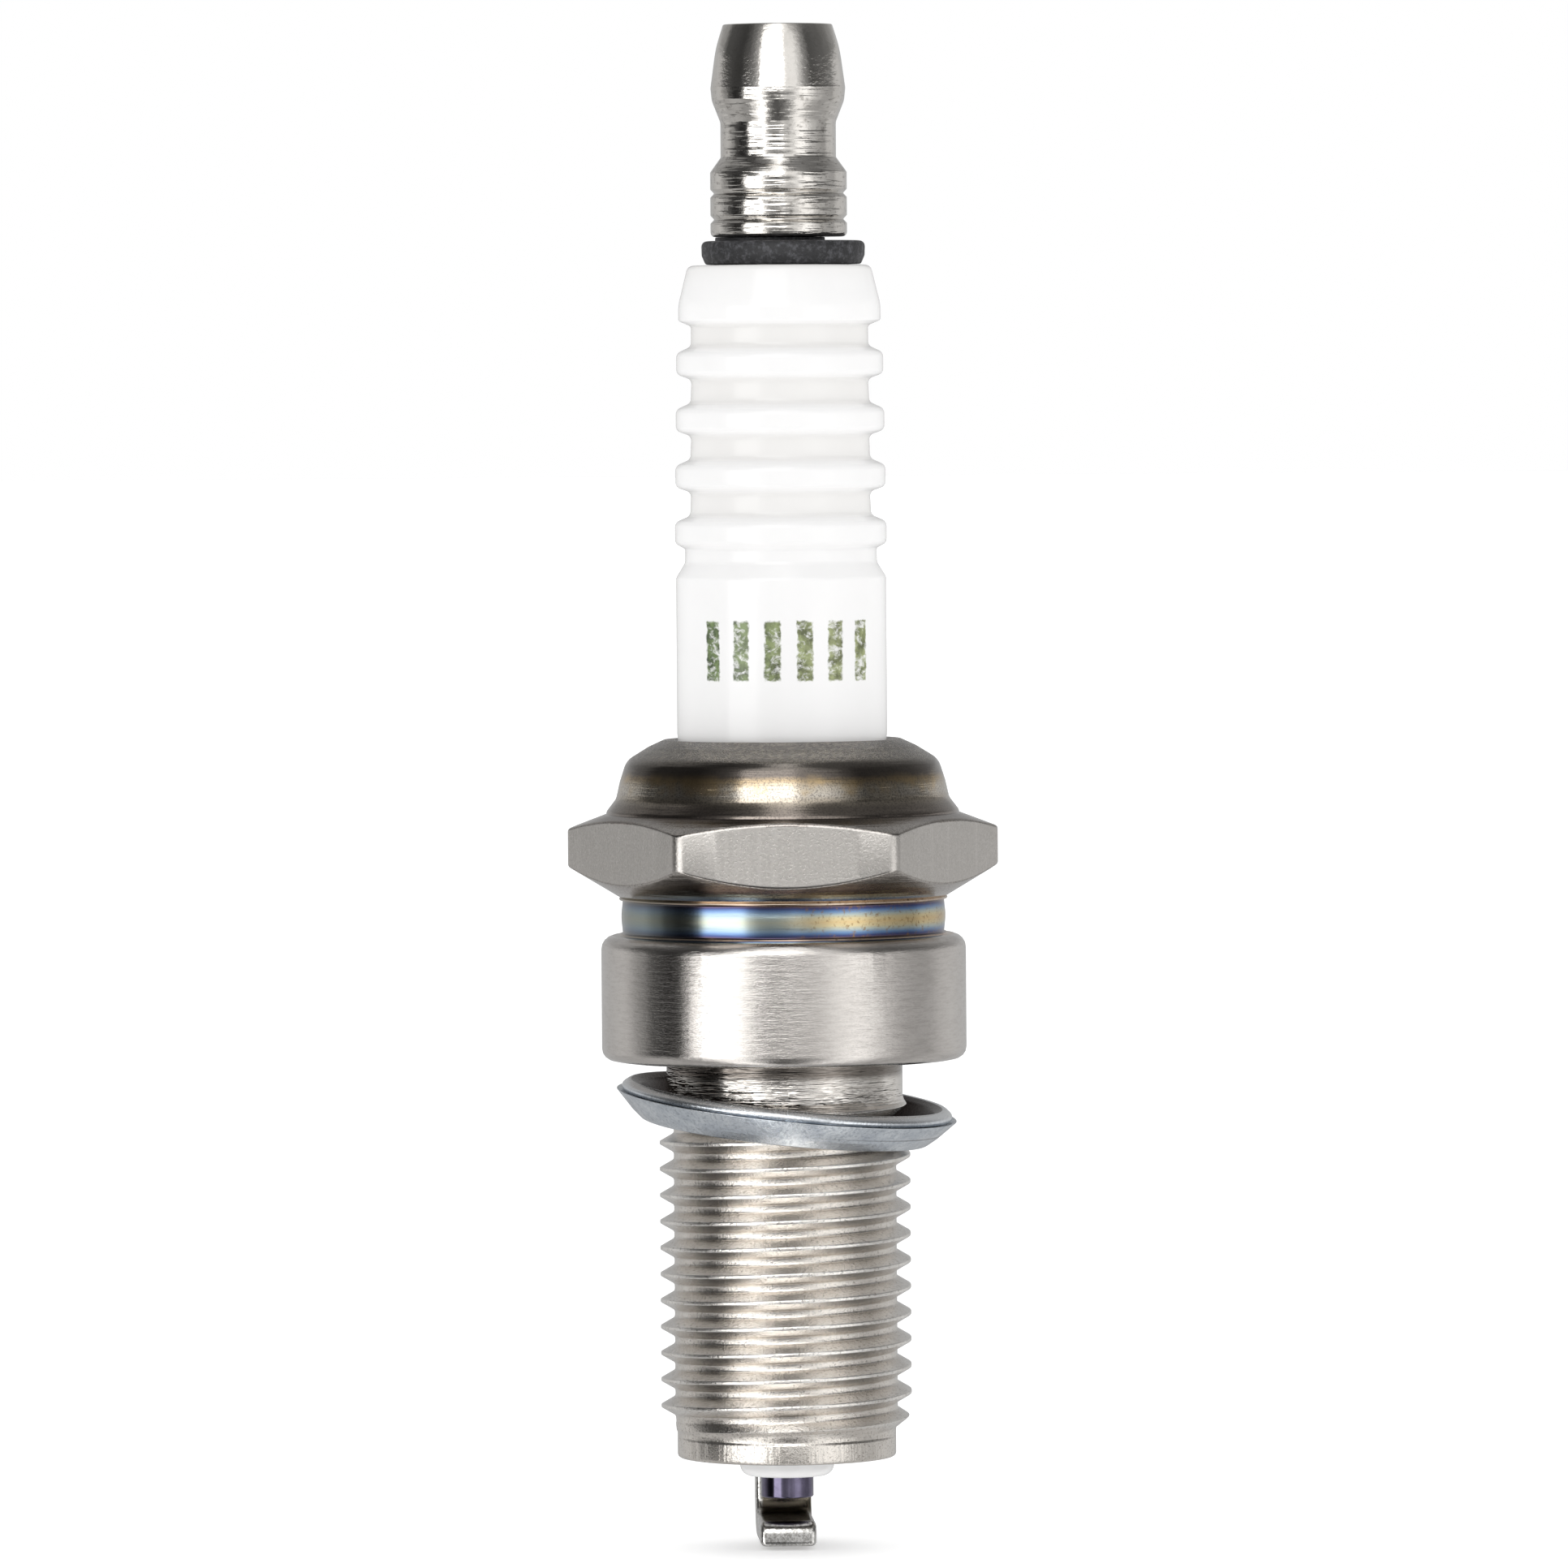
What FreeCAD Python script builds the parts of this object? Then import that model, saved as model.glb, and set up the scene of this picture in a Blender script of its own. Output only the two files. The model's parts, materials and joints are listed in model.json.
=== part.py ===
"""Motorcycle spark plug, as its separate pieces. Millimetres.

The origin is the centre of the steel shell's gasket seat. +Z runs along the plug's axis to the terminal
nut, and the threaded end points down. A flat of the hexagon faces -Y, within a degree or so. The strap
that carries earth stands on the +Y side of the firing end.
"""
import FreeCAD, Part
import math
import os

V = FreeCAD.Vector
AXIS = V(0, 0, 1)
ORIGIN = V(0, 0, 0)

# Fits between pieces
TOUCH_GAP = 0.01  # between pieces that are packed or sealed together
RUN_GAP = 0.05  # between pieces that turn on each other

# M12 thread that screws into the cylinder head
THREAD_CREST_R = 5.95
THREAD_ROOT_R = 5.28
THREAD_PITCH = 1.25
THREAD_CREST_Z = -12.07  # a crest of the helix, in the +X direction
THREAD_TOP = -1.75
THREAD_END = -17.75
THREAD_FADE = 1.4  # rise over run of the cones that the thread fades out over
REACH = 18.9  # seat to the end of the shell
PILOT_R = 5.19
NECK_R = 5.6
NECK_LENGTH = 2.1

# Shell above the seat
SEAT_R = 8.65
SEAT_EDGE = 0.55  # rounding round the seat
BARREL_TOP = 5.82
BAND_R = 7.62
BAND_SWELL = 0.08  # how far the groove between barrel and hexagon bulges at its middle
STEP_R = 7.85  # where the hexagon's lower chamfer meets the groove
BARREL_SHOULDER_R = 7.95
BAND_BOTTOM = 5.95
BAND_TOP = 7.65
HEX_ACROSS_FLATS = 17.85
HEX_ACROSS_CORNERS = 20.4
HEX_TURN = 1.1  # degrees about +Z
HEX_BOTTOM = 7.82
HEX_TOP = 11.83
HEX_LOWER_SLOPE = 30.5  # degrees from level, of the turned chamfer below the hexagon
HEX_UPPER_SLOPE = 21.0
HEX_CHAMFER_SWELL = 0.02  # how far both chamfers bulge at their middle
HEX_SHOULDER_R = 8.0  # where the upper chamfer starts
CRIMP_ROOT_R = 8.35
CRIMP_TOP = 15.2
LIP_R = 4.99  # inside of the crimped lip
SHELL_BORE_R = 6.6
SHELL_MID_R = 4.35
LEDGE_Z = -10.0
LEDGE_BOTTOM = -12.0
LEDGE_R = 3.75
CHAMBER_R = 4.1

# Ceramic insulator
INSULATOR_TOP = 37.62
BODY_R = 4.98
GLAZE_BOTTOM = 15.5  # the glaze ends at the shell's lip
BARE_R = 4.92
RIB_TOP_Z = 32.98
RIB_PITCH = 2.67
RIB_COUNT = 4
RIB_HALF = 0.5
HEAD_R = 6.5
HEAD_TOP = 9.0
HEAD_BOTTOM = 2.6
MIDDLE_R = 4.25
WASHER_THICKNESS = 0.3
NOSE_TOP_R = 3.5
NOSE_TIP_R = 2.17
NOSE_TIP_Z = -19.8
STUD_BORE_R = 2.25
ELECTRODE_STEP_Z = -6.6

# Conductors inside the insulator
STUD_R = 1.9
STUD_TOP = 43.6
STUD_BOTTOM = 1.0
KNURL_R = 1.96
KNURL_LENGTH = 6.0
KNURL_RINGS = 7
SHANK_R = 1.75
SEAL_TOP = 4.0
ELECTRODE_R = 1.25
ELECTRODE_TIP_Z = -20.82
ELECTRODE_HEAD_R = 1.95
ELECTRODE_HEAD_HEIGHT = 1.0
CORE_R = 0.75
TIP_THICKNESS = 1.3

# M4 thread between the stud and the terminal nut
STUD_CREST_R = 1.96
STUD_ROOT_R = 1.53
STUD_PITCH = 0.7
STUD_THREAD_BOTTOM = 38.1

# Terminal nut, and the rubber ring below it
NUT_BOTTOM = 38.96
NUT_TOP = 49.0
NUT_BARREL_R = 3.23
NUT_BULB_R = 3.19
NUT_TOP_R = 2.58
NUT_NECK_R = 2.73
NUT_BORE_DEPTH = 5.6
GROOVE_HEIGHTS = (41.02, 39.79)
GROOVE_HALF = 0.19
GROOVE_DEPTH = 0.18
RING_BOTTOM = 37.66
RING_TOP = 38.77
RING_R = 3.9
RING_OFFSET = 0.19  # the slack ring lies off the axis, towards +X
BOSS_R = 2.6
BOSS_OFFSET = -0.42
BOSS_TOP = 38.94

# Packing above the insulator's head
PACKING_WIRE_R = 0.76
LOWER_PACKING_Z = 10.05
UPPER_PACKING_Z = 12.95

# Earth strap
STRAP_TURN = 2.6  # degrees about +Z
STRAP_WIDTH = 2.66
STRAP_THICKNESS = 1.2
STRAP_LEG_Y = 4.5  # middle of the leg
STRAP_FREE_Y = -1.2
SPARK_GAP = 1.1
STRAP_BEND_R = 1.9  # outside of the bend
STRAP_EDGE_R = 0.3
STRAP_NOSE_R = 0.6  # rounding along the top of the free end

# Crush gasket, loose on the neck of the thread
GASKET_CENTRE = V(0.1, 0, -2.16)
GASKET_TILT_AXIS = V(0.3795, 0.9252, 0)
GASKET_TILT = 6.6  # degrees about that axis
GASKET_RIM_R = 8.14
GASKET_HOLE_R = 6.3


def section(corners):
    """Closed face in the XZ plane. Each corner is (r, z), or (r, z, rounding) for a corner with an arc."""
    edges = []
    previous_end = None
    first_start = None
    for i, corner in enumerate(corners):
        here = V(corner[0], 0, corner[1])
        before = V(corners[i - 1][0], 0, corners[i - 1][1]) - here
        following = corners[(i + 1) % len(corners)]
        after = V(following[0], 0, following[1]) - here
        start = end = here
        rounding = corner[2] if len(corner) > 2 else 0
        if rounding:
            before.normalize()
            after.normalize()
            half = before.getAngle(after) / 2
            start = here + before * (rounding / math.tan(half))
            end = here + after * (rounding / math.tan(half))
            inward = (before + after).normalize()
            middle = here + inward * (rounding / math.sin(half) - rounding)
        if previous_end is not None and previous_end.distanceToPoint(start) > 1e-6:
            edges.append(Part.LineSegment(previous_end, start).toShape())
        if rounding:
            edges.append(Part.Arc(start, middle, end).toShape())
        first_start = start if first_start is None else first_start
        previous_end = end
    if previous_end.distanceToPoint(first_start) > 1e-6:
        edges.append(Part.LineSegment(previous_end, first_start).toShape())
    return Part.Face(Part.Wire(edges))


def bulge(a, b, swell):
    """Corner whose arc runs from a to b, both (r, z), and stands out by swell to the right of that way."""
    chord = math.dist(a, b)
    out = 2 * swell
    side = math.hypot(chord / 2, out)
    r = (a[0] + b[0]) / 2 + (b[1] - a[1]) / chord * out
    z = (a[1] + b[1]) / 2 - (b[0] - a[0]) / chord * out
    return r, z, side * chord / 2 / out


def turned(corners):
    """Solid of revolution about the plug's axis."""
    return section(corners).revolve(ORIGIN, AXIS, 360)


def rod(radius, bottom, top):
    return Part.makeCylinder(radius, top - bottom, V(0, 0, bottom), AXIS)


def threaded(solid, crest_r, root_r, pitch, crest_z, bottom, top, end_slope):
    """The solid with a right-hand 60 degree thread standing on its root cylinder.

    The thread fades out over a cone at each end. crest_z is the height of one crest in the +X direction,
    and end_slope is the cones' rise over run.
    """
    flank = math.tan(math.radians(30))
    flat = pitch / 16
    sunk, proud = root_r - 0.12, crest_r + flat
    sunk_half = flat + (crest_r - sunk) * flank
    proud_half = flat - flat * flank
    helix = Part.Wire(Part.makeHelix(pitch, pitch, crest_r))
    corners = [V(sunk, 0, -sunk_half), V(sunk, 0, sunk_half), V(proud, 0, proud_half), V(proud, 0, -proud_half)]
    one_turn = helix.makePipeShell([Part.makePolygon(corners + corners[:1])], True, True)
    fade = (crest_r - root_r) * end_slope
    envelope = turned([(0, bottom), (root_r - 0.06, bottom), (crest_r, bottom + fade), (crest_r, top - fade),
                       (root_r - 0.06, top), (0, top)])
    lowest = math.floor((bottom - crest_z) / pitch) - 1
    highest = math.ceil((top - crest_z) / pitch)
    for i in range(lowest, highest + 1):
        ridge = one_turn.translated(V(0, 0, crest_z + i * pitch)).common(envelope)
        for piece in ridge.Solids:
            solid = solid.fuse(piece)
    return solid


def make_shell():
    """Steel shell, turned, with its hexagon, rolled thread and the lip crimped over the packing."""
    neck_end = -NECK_LENGTH
    body = turned([
        (0, -REACH), (PILOT_R, -REACH, 0.18), (PILOT_R, THREAD_END), (THREAD_ROOT_R, THREAD_END),
        (THREAD_ROOT_R, neck_end - 0.3), (NECK_R, neck_end, 0.2), (NECK_R, 0), (SEAT_R, 0, SEAT_EDGE),
        (SEAT_R, BARREL_TOP, 0.68), (BARREL_SHOULDER_R, BAND_BOTTOM, 0.15), (BAND_R, BAND_BOTTOM),
        (BAND_R + BAND_SWELL, (BAND_BOTTOM + BAND_TOP) / 2, 3.0), (BAND_R, BAND_TOP), (STEP_R, BAND_TOP),
        (STEP_R, HEX_TOP - 0.4), (CRIMP_ROOT_R, HEX_TOP - 0.4), (CRIMP_ROOT_R, HEX_TOP - 0.02, 0.3),
        (7.9, 12.4, 0.6), (7.72, 13.2, 1.5), (7.4, 14.2, 0.9),
        (6.35, 14.85, 0.6), (5.6, CRIMP_TOP, 0.15), (LIP_R, CRIMP_TOP - 0.12, 0.1), (0, CRIMP_TOP - 0.12)])
    corner_r = HEX_ACROSS_CORNERS / 2
    flat_r = HEX_ACROSS_FLATS / 2
    lower = math.tan(math.radians(HEX_LOWER_SLOPE))
    upper = math.tan(math.radians(HEX_UPPER_SLOPE))
    step, low_corner = (STEP_R, HEX_BOTTOM), (corner_r, HEX_BOTTOM + (corner_r - STEP_R) * lower)
    high_corner, shoulder = (corner_r, HEX_TOP - (corner_r - HEX_SHOULDER_R) * upper), (HEX_SHOULDER_R, HEX_TOP)
    blank = turned([
        (0, HEX_BOTTOM), step, bulge(step, low_corner, HEX_CHAMFER_SWELL), low_corner, high_corner,
        bulge(high_corner, shoulder, HEX_CHAMFER_SWELL), shoulder, (0, HEX_TOP)])
    tip_r = flat_r / math.cos(math.radians(30))
    tips = [V(tip_r * math.cos(math.radians(60 * i)), tip_r * math.sin(math.radians(60 * i)), HEX_BOTTOM)
            for i in range(7)]
    prism = Part.Face(Part.makePolygon(tips)).extrude(V(0, 0, HEX_TOP - HEX_BOTTOM))
    hexagon = prism.common(blank)
    hexagon.rotate(ORIGIN, AXIS, HEX_TURN)
    bore = turned([
        (0, -REACH - 1), (CHAMBER_R, -REACH - 1), (CHAMBER_R, LEDGE_BOTTOM), (LEDGE_R, LEDGE_BOTTOM + 0.4),
        (LEDGE_R, LEDGE_Z), (SHELL_MID_R, LEDGE_Z), (SHELL_MID_R, 0.3), (SHELL_BORE_R, 1.5),
        (SHELL_BORE_R, 13.6, 0.8), (LIP_R, 14.35), (LIP_R, CRIMP_TOP + 1), (0, CRIMP_TOP + 1)])
    unthreaded = body.fuse(hexagon).cut(bore)
    return threaded(unthreaded, THREAD_CREST_R, THREAD_ROOT_R, THREAD_PITCH, THREAD_CREST_Z, THREAD_END,
                    THREAD_TOP, THREAD_FADE)


def make_insulator():
    """Glazed alumina insulator with four ribs above the shell and a tapered nose in the chamber."""
    shoulder = LEDGE_Z + WASHER_THICKNESS + TOUCH_GAP
    corners = [
        (STUD_BORE_R, INSULATOR_TOP), (4.33, INSULATOR_TOP, 0.35), (4.79, 35.75, 2.5), (4.79, 35.0, 0.12),
        (4.19, 34.75, 0.2)]
    for i in range(RIB_COUNT):
        z = RIB_TOP_Z - i * RIB_PITCH
        rib_r = 4.9 + 0.04 * i
        neck_r = 4.16 + 0.03 * i
        corners += [(neck_r + 0.04, z + RIB_HALF + 0.32, 0.3), (rib_r, z + RIB_HALF, 0.36),
                    (rib_r, z - RIB_HALF, 0.32), (neck_r + 0.02, z - RIB_HALF - 0.26, 0.3)]
    corners[-1] = (4.54, corners[-1][1], 0.15)
    corners += [
        (4.55, 23.55, 0.5), (BODY_R, 22.85, 0.4), (BODY_R, GLAZE_BOTTOM), (BARE_R, GLAZE_BOTTOM - 0.6),
        (BARE_R, HEAD_TOP + 0.5), (HEAD_R, HEAD_TOP, 0.4), (HEAD_R, HEAD_BOTTOM, 0.4), (MIDDLE_R, 1.2, 0.4),
        (MIDDLE_R, shoulder), (NOSE_TOP_R, shoulder), (NOSE_TIP_R, NOSE_TIP_Z, 0.5),
        (ELECTRODE_R + TOUCH_GAP, NOSE_TIP_Z), (ELECTRODE_R + TOUCH_GAP, ELECTRODE_STEP_Z),
        (STUD_BORE_R, ELECTRODE_STEP_Z)]
    return turned(corners)


def make_terminal_stud():
    """Steel stud: a ringed end held in the glass, a plain shank, and an M4 end for the terminal nut."""
    corners = [(0, STUD_BOTTOM), (KNURL_R - 0.3, STUD_BOTTOM), (KNURL_R, STUD_BOTTOM + 0.3)]
    step = (KNURL_LENGTH - 0.6) / KNURL_RINGS
    for i in range(KNURL_RINGS):
        z = STUD_BOTTOM + 0.3 + i * step
        corners += [(KNURL_R, z + 0.4 * step), (KNURL_R - 0.2, z + 0.7 * step), (KNURL_R, z + step)]
    corners += [(KNURL_R, STUD_BOTTOM + KNURL_LENGTH), (SHANK_R, STUD_BOTTOM + KNURL_LENGTH + 0.4),
                (SHANK_R, 36.0), (STUD_R, 36.4), (STUD_R, STUD_THREAD_BOTTOM),
                (STUD_ROOT_R, STUD_THREAD_BOTTOM + 0.3), (STUD_ROOT_R, STUD_TOP - 0.4),
                (STUD_ROOT_R - 0.35, STUD_TOP), (0, STUD_TOP)]
    return threaded(turned(corners), STUD_CREST_R, STUD_ROOT_R, STUD_PITCH, NUT_BOTTOM, STUD_THREAD_BOTTOM,
                    STUD_TOP - 0.4, 1.2)


def make_terminal_nut():
    """Nickel-plated nut that the plug cap snaps on to: bulb, neck and a barrel with two fine grooves."""
    corners = [(0, NUT_BOTTOM), (NUT_BARREL_R, NUT_BOTTOM, 0.2)]
    for z in sorted(GROOVE_HEIGHTS):
        corners += [(NUT_BARREL_R, z - GROOVE_HALF), (NUT_BARREL_R - GROOVE_DEPTH, z, 0.05),
                    (NUT_BARREL_R, z + GROOVE_HALF)]
    corners += [
        (NUT_BARREL_R, 42.02, 0.1), (NUT_NECK_R, 42.72, 0.15), (NUT_NECK_R, 44.38, 0.6), (3.13, 45.4, 1.0),
        (NUT_BULB_R, 46.0, 0.5), (NUT_TOP_R, NUT_TOP, 0.1), (0, NUT_TOP)]
    bottom, top = NUT_BOTTOM - 2 * STUD_PITCH, NUT_BOTTOM + NUT_BORE_DEPTH
    bore = threaded(rod(STUD_ROOT_R + RUN_GAP, bottom, top), STUD_CREST_R + RUN_GAP, STUD_ROOT_R + RUN_GAP,
                    STUD_PITCH, NUT_BOTTOM, bottom, top, 0.6)
    mouth = turned([(0, NUT_BOTTOM - 1), (STUD_CREST_R + 0.2, NUT_BOTTOM - 1),
                    (STUD_CREST_R + 0.2, NUT_BOTTOM), (STUD_ROOT_R, NUT_BOTTOM + 0.65), (0, NUT_BOTTOM + 0.65)])
    return turned(corners).cut(bore).cut(mouth)


def make_terminal_ring():
    """Black rubber ring between the nut and the insulator, with a low boss that the nut bears on."""
    ring = turned([
        (0, RING_BOTTOM), (RING_R - 0.2, RING_BOTTOM, 0.15), (RING_R, RING_BOTTOM + 0.42, 0.3),
        (RING_R, RING_TOP, 0.25), (0, RING_TOP)])
    ring.translate(V(RING_OFFSET, 0, 0))
    boss = rod(BOSS_R, RING_TOP - 0.2, BOSS_TOP)
    boss.translate(V(BOSS_OFFSET, 0, 0))
    hole = rod(STUD_CREST_R + RUN_GAP, RING_BOTTOM - 1, BOSS_TOP + 1)
    return ring.fuse(boss).cut(hole).removeSplitter()


def make_glass_seal():
    """Conductive glass melted round the stud's ringed end, on top of the electrode's head."""
    inside = STUD_BORE_R - TOUCH_GAP
    bottom = ELECTRODE_STEP_Z + ELECTRODE_HEAD_HEIGHT + 2 * TOUCH_GAP
    return turned([
        (0, bottom), (inside, bottom), (inside, SEAL_TOP), (KNURL_R + TOUCH_GAP, SEAL_TOP),
        (KNURL_R + TOUCH_GAP, STUD_BOTTOM - TOUCH_GAP), (0, STUD_BOTTOM - TOUCH_GAP)])


def make_centre_electrode():
    """Nickel alloy sheath, closed at the tip, with a head that rests on the insulator's step."""
    step = ELECTRODE_STEP_Z + TOUCH_GAP
    top = step + ELECTRODE_HEAD_HEIGHT
    return turned([
        (CORE_R, top), (ELECTRODE_HEAD_R, top, 0.15), (ELECTRODE_HEAD_R, step), (ELECTRODE_R, step),
        (ELECTRODE_R, ELECTRODE_TIP_Z, 0.06), (0, ELECTRODE_TIP_Z), (0, ELECTRODE_TIP_Z + TIP_THICKNESS),
        (CORE_R, ELECTRODE_TIP_Z + TIP_THICKNESS)])


def make_electrode_core():
    """Copper core that carries heat up from the tip."""
    return rod(CORE_R - TOUCH_GAP, ELECTRODE_TIP_Z + TIP_THICKNESS + TOUCH_GAP,
               ELECTRODE_STEP_Z + ELECTRODE_HEAD_HEIGHT)


def make_packing_ring(z):
    """Steel wire ring that closes one end of the talc."""
    middle_r = (SHELL_BORE_R + BARE_R) / 2
    return Part.makeTorus(middle_r, PACKING_WIRE_R, V(0, 0, z), AXIS)


def make_talc_ring():
    """Pressed talc powder between the two packing rings, dished where the rings bear on it."""
    inner, outer = BARE_R + TOUCH_GAP, SHELL_BORE_R - TOUCH_GAP
    block = turned([(inner, LOWER_PACKING_Z), (outer, LOWER_PACKING_Z), (outer, UPPER_PACKING_Z),
                    (inner, UPPER_PACKING_Z)])
    middle_r = (SHELL_BORE_R + BARE_R) / 2
    half = (outer - inner) / 2 + TOUCH_GAP
    hollows = [Part.makeTorus(middle_r, half, V(0, 0, z), AXIS) for z in (LOWER_PACKING_Z, UPPER_PACKING_Z)]
    solids = sorted(block.cut(hollows).Solids, key=lambda solid: solid.Volume)
    return solids[-1]


def make_seat_washer():
    """Thin steel washer that seals the insulator's shoulder on the shell's ledge."""
    inner, outer = LEDGE_R + 0.05, SHELL_MID_R - 0.03
    return turned([(inner, LEDGE_Z), (outer, LEDGE_Z), (outer, LEDGE_Z + WASHER_THICKNESS),
                   (inner, LEDGE_Z + WASHER_THICKNESS)])


def make_ground_electrode():
    """Nickel alloy strap, welded to the shell's end and bent in under the centre electrode."""
    outer_y = STRAP_LEG_Y + STRAP_THICKNESS / 2
    inner_y = STRAP_LEG_Y - STRAP_THICKNESS / 2
    arm_top = ELECTRODE_TIP_Z - SPARK_GAP
    arm_bottom = arm_top - STRAP_THICKNESS
    side = section([
        (outer_y, -REACH), (outer_y, arm_bottom, STRAP_BEND_R), (STRAP_FREE_Y, arm_bottom, 0.25),
        (STRAP_FREE_Y, arm_top, STRAP_NOSE_R), (inner_y, arm_top, STRAP_BEND_R - STRAP_THICKNESS), (inner_y, -REACH)])
    side.rotate(ORIGIN, AXIS, 90)
    side.translate(V(-STRAP_WIDTH / 2, 0, 0))
    strap = side.extrude(V(STRAP_WIDTH, 0, 0))
    long_edges = [edge for edge in strap.Edges
                  if edge.BoundBox.XLength < 1e-6 and edge.BoundBox.ZMax > arm_bottom + 1e-3
                  and edge.BoundBox.YMax > STRAP_FREE_Y + 1e-3]
    strap = strap.makeFillet(STRAP_EDGE_R, long_edges)
    strap.rotate(ORIGIN, AXIS, STRAP_TURN)
    return strap


def make_gasket():
    """Crush gasket folded from one strip of plated steel: a dish, with its inner edge turned up and over."""
    gasket = turned([
        (GASKET_RIM_R, 0.02), (7.3, -0.86, 0.6), (6.8, -1.28, 0.3), (GASKET_HOLE_R, -1.28, 0.25),
        (GASKET_HOLE_R, -0.9, 0.12), (6.74, -0.55, 0.25), (7.02, 0.28, 0.25), (7.5, 0.56, 0.25),
        (7.96, 0.2, 0.22), (7.8, -0.02), (7.56, 0.0), (7.66, 0.2, 0.08), (7.5, 0.28, 0.1),
        (7.29, 0.14, 0.1), (7.02, -0.6, 0.08), (7.02, -0.84), (8.0, 0.0)])
    gasket.rotate(ORIGIN, GASKET_TILT_AXIS, GASKET_TILT)
    gasket.translate(GASKET_CENTRE)
    return gasket


PIECES = {
    "terminal_nut": make_terminal_nut(),
    "terminal_ring": make_terminal_ring(),
    "terminal_stud": make_terminal_stud(),
    "insulator": make_insulator(),
    "glass_seal": make_glass_seal(),
    "centre_electrode": make_centre_electrode(),
    "electrode_core": make_electrode_core(),
    "shell": make_shell(),
    "upper_packing_ring": make_packing_ring(UPPER_PACKING_Z),
    "talc_ring": make_talc_ring(),
    "lower_packing_ring": make_packing_ring(LOWER_PACKING_Z),
    "seat_washer": make_seat_washer(),
    "ground_electrode": make_ground_electrode(),
    "gasket": make_gasket(),
}

os.makedirs("parts", exist_ok=True)
for name, shape in PIECES.items():
    if shape.ShapeType != "Solid":
        shape = shape.Solids[0] if len(shape.Solids) == 1 else shape
    shape.exportStep(f"parts/{name}.step")
    print(name, shape.ShapeType, "valid", shape.isValid(), "volume", round(shape.Volume, 2))
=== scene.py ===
"""Looks for the spark plug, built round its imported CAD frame. Profiles are in millimetres from the seat."""
import bmesh
import bpy
import json
import math
from mathutils import Matrix, Vector


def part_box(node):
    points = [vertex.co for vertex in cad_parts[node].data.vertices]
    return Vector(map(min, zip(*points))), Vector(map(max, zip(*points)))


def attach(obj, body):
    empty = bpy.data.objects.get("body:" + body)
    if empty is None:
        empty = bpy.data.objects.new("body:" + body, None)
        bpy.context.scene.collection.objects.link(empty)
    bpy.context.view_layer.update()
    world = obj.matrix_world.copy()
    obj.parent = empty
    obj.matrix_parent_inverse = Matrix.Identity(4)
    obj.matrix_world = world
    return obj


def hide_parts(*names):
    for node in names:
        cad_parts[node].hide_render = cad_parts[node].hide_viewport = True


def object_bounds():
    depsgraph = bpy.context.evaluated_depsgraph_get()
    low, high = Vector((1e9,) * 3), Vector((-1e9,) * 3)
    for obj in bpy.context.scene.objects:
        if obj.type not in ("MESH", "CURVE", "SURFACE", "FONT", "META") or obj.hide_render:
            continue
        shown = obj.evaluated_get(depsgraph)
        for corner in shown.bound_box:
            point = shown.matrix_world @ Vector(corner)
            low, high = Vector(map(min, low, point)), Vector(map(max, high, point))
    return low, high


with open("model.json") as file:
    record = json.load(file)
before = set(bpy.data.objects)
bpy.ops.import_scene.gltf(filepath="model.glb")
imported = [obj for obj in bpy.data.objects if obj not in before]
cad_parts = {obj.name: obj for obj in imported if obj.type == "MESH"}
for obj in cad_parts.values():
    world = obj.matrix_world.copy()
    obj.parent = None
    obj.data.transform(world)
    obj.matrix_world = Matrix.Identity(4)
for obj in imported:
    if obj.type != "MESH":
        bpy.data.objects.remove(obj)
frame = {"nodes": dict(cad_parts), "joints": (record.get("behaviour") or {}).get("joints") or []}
cad_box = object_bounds()

MM = 0.001
SEGMENTS = 288
FINE_SEGMENTS = 192

SHELL_LOW, SHELL_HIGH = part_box("shell")
NUT_LOW, NUT_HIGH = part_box("terminal_nut")
RING_LOW, RING_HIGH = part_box("terminal_ring")
INSULATOR_LOW, INSULATOR_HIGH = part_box("insulator")
TIP_LOW, TIP_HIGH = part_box("centre_electrode")
STRAP_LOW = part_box("ground_electrode")[0]
JOINTS = {joint["name"]: joint for joint in frame["joints"]}

# The shell: heights in millimetres from the seat, radii, and the hexagon's angles
SHELL_TOP = SHELL_HIGH.z / MM
SHELL_END = SHELL_LOW.z / MM
LIP_R = 4.99
NECK_R = 5.6
PILOT_R = 5.19
SEAT_R = 8.65
BAND_LOW, BAND_HIGH = 5.95, 7.65
CRIMP_LOW, CRIMP_HIGH = 11.3, 15.2
HEX_BOTTOM, HEX_TOP = 7.82, 11.83
HEX_BOTTOM_R = 7.85
HEX_SHOULDER_R = 8.0
HEX_FLAT_R = 8.925
HEX_CORNER_ROUND = 0.69
HEX_EDGE = 0.19
HEX_TURN = math.radians(1.1)
HEX_LOWER_SLOPE = math.tan(math.radians(30.5))
HEX_UPPER_SLOPE = math.tan(math.radians(21.0))

# The M12 x 1.25 thread
PITCH = 1.25
CREST_R = 5.95
ROOT_R = 5.28
CREST_ROUND = 0.07
ROOT_ROUND = 0.16
FLANK_SLOPE = math.tan(math.radians(30))
CREST_Z = -12.07
THREAD_TOP = -1.75
THREAD_BOTTOM = -17.75
THREAD_END = -17.85
TOP_FADE = 0.75
BOTTOM_FADE = 1.0

# The gasket lies on the neck at the tilt that the photo shows
GASKET_CENTRE = Vector(JOINTS["gasket_tilt"]["pos_m"]) / MM
GASKET_TILT = Matrix.Rotation(math.radians(6.6), 3, Vector(JOINTS["gasket_tilt"]["axis"]))

# Ink bars on the insulator, measured round it
INK_R = 5.0
BAR_MIDDLE = 0.35
BAR_PITCH = 1.55
BAR_WIDTH = 0.76
BAR_SPREAD = 4.5
BAR_LOW, BAR_HIGH = 18.05, 20.85

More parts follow.
